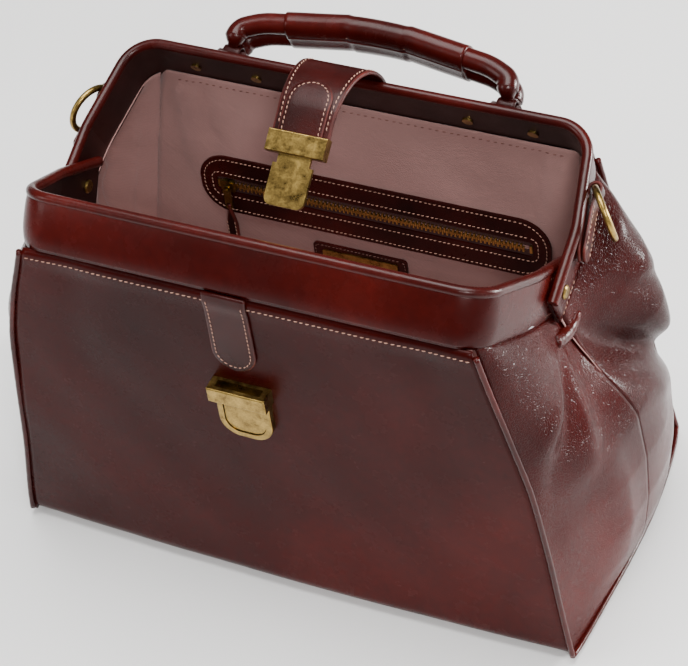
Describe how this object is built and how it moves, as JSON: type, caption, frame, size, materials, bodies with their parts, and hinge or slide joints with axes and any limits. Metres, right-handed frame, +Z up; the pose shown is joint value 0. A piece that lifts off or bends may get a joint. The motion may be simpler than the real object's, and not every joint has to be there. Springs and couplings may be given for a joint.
{
  "type": "doctor bag",
  "caption": "Open-topped framed leather doctor bag with twin hinged mouth frames, stand-up handle, closing strap with hasp, front lock, side rings and a lined interior with a zip pocket.",
  "frame": {"origin": "centre of the base, on the surface it stands on", "axes": "+Z up, +X along the length to the right seen from the front, -Y towards the front with the lock"},
  "size_m": [0.43, 0.2508, 0.3218],
  "materials": {
    "body_leather": "glossy, hand-rubbed dark oxblood",
    "rolled_leather": "glossy rolled edge",
    "facing_leather": "satin dark",
    "lining_cotton": "matte twill",
    "zip_tape": "matte woven",
    "core_cord": "matte",
    "stiffener": "matte",
    "spring_steel": "brushed",
    "antique_brass": "aged, hand-rubbed"
  },
  "bodies": {
    "bag_body": {"front_panel": "body_leather", "back_panel": "body_leather", "base_panel": "body_leather", "base_board": "stiffener", "gusset_left": "body_leather", "gusset_right": "body_leather", "piping_left": "rolled_leather", "piping_right": "rolled_leather", "lining_front": "lining_cotton", "lining_back": "lining_cotton", "lining_left": "lining_cotton", "lining_right": "lining_cotton", "lining_base": "lining_cotton", "pocket_bag": "lining_cotton", "zip_surround": "body_leather", "zip_tape_upper": "zip_tape", "zip_tape_lower": "zip_tape", "zip_teeth_upper": "antique_brass", "zip_teeth_lower": "antique_brass", "zip_stops": "antique_brass", "patch_leather": "body_leather", "patch_plate": "antique_brass", "front_tab": "body_leather", "lock_body": "antique_brass", "lock_rivets": "antique_brass", "lock_back_plate": "antique_brass"},
    "front_frame": {"front_frame_cover": "body_leather", "front_frame_steel": "spring_steel", "front_frame_facing": "facing_leather", "front_frame_bead": "rolled_leather"},
    "rear_frame": {"rear_frame_cover": "body_leather", "rear_frame_steel": "spring_steel", "rear_frame_facing": "facing_leather", "rear_frame_bead": "rolled_leather", "hinge_rivets": "antique_brass", "chape_left": "body_leather", "chape_right": "body_leather", "chape_rivets": "antique_brass", "strap_anchor": "body_leather", "ring_tab_left": "body_leather", "ring_tab_right": "body_leather"},
    "handle": {"handle_strand_upper": "body_leather", "handle_strand_lower": "body_leather", "handle_cores": "core_cord", "handle_grip": "body_leather", "handle_ends": "body_leather"},
    "strap_bridge": {"strap_bridge": "body_leather"},
    "strap_tongue": {"strap_tongue": "body_leather", "strap_overlay": "body_leather", "hasp_clamp": "antique_brass", "hasp_plate": "antique_brass"},
    "zip_slider": {"zip_slider": "antique_brass"},
    "zip_pull": {"zip_pull": "antique_brass", "zip_thong": "body_leather"},
    "ring_left": {"ring_left": "antique_brass"},
    "ring_right": {"ring_right": "antique_brass"},
    "lock_press": {"lock_press_plate": "antique_brass"}
  },
  "joints": [
    {"name": "front_frame_close", "type": "hinge", "parent": "bag_body", "child": "front_frame", "pos_m": [0, -0.0142, 0.2374], "axis": [-1, 0, 0], "range_deg": [0, 47.4]},
    {"name": "rear_frame_close", "type": "hinge", "parent": "bag_body", "child": "rear_frame", "pos_m": [0, -0.0142, 0.2374], "axis": [1, 0, 0], "range_deg": [0, 52.8]},
    {"name": "handle_swing", "type": "hinge", "parent": "rear_frame", "child": "handle", "pos_m": [0, 0.08909, 0.2828], "axis": [1, 0, 0], "range_deg": [-54, 50]},
    {"name": "strap_lift", "type": "hinge", "parent": "rear_frame", "child": "strap_bridge", "pos_m": [-0.006, 0.07302, 0.30179], "axis": [-1, 0, 0], "range_deg": [-8, 45]},
    {"name": "strap_fold", "type": "hinge", "parent": "strap_bridge", "child": "strap_tongue", "pos_m": [-0.006, 0.04113, 0.3202], "axis": [-1, 0, 0], "range_deg": [-30, 40]},
    {"name": "zip_travel", "type": "slide", "parent": "bag_body", "child": "zip_slider", "axis": [1, 0, 0], "range_m": [0, 0.2125]},
    {"name": "zip_pull_swing", "type": "hinge", "parent": "zip_slider", "child": "zip_pull", "pos_m": [-0.1085, 0.0717, 0.175], "axis": [0, 1, 0], "range_deg": [-70, 35]},
    {"name": "ring_left_swing", "type": "hinge", "parent": "rear_frame", "child": "ring_left", "pos_m": [-0.16947, 0.04629, 0.26794], "axis": [0, 0.4242, -0.9056], "range_deg": [0, 148]},
    {"name": "ring_right_swing", "type": "hinge", "parent": "rear_frame", "child": "ring_right", "pos_m": [0.16947, 0.04629, 0.26794], "axis": [0, -0.4242, 0.9056], "range_deg": [0, 148]},
    {"name": "lock_press", "type": "slide", "parent": "bag_body", "child": "lock_press", "axis": [0, 0.9999, 0.0148], "range_m": [0, 0.0012], "stiffness_N_per_m": 300}
  ]
}
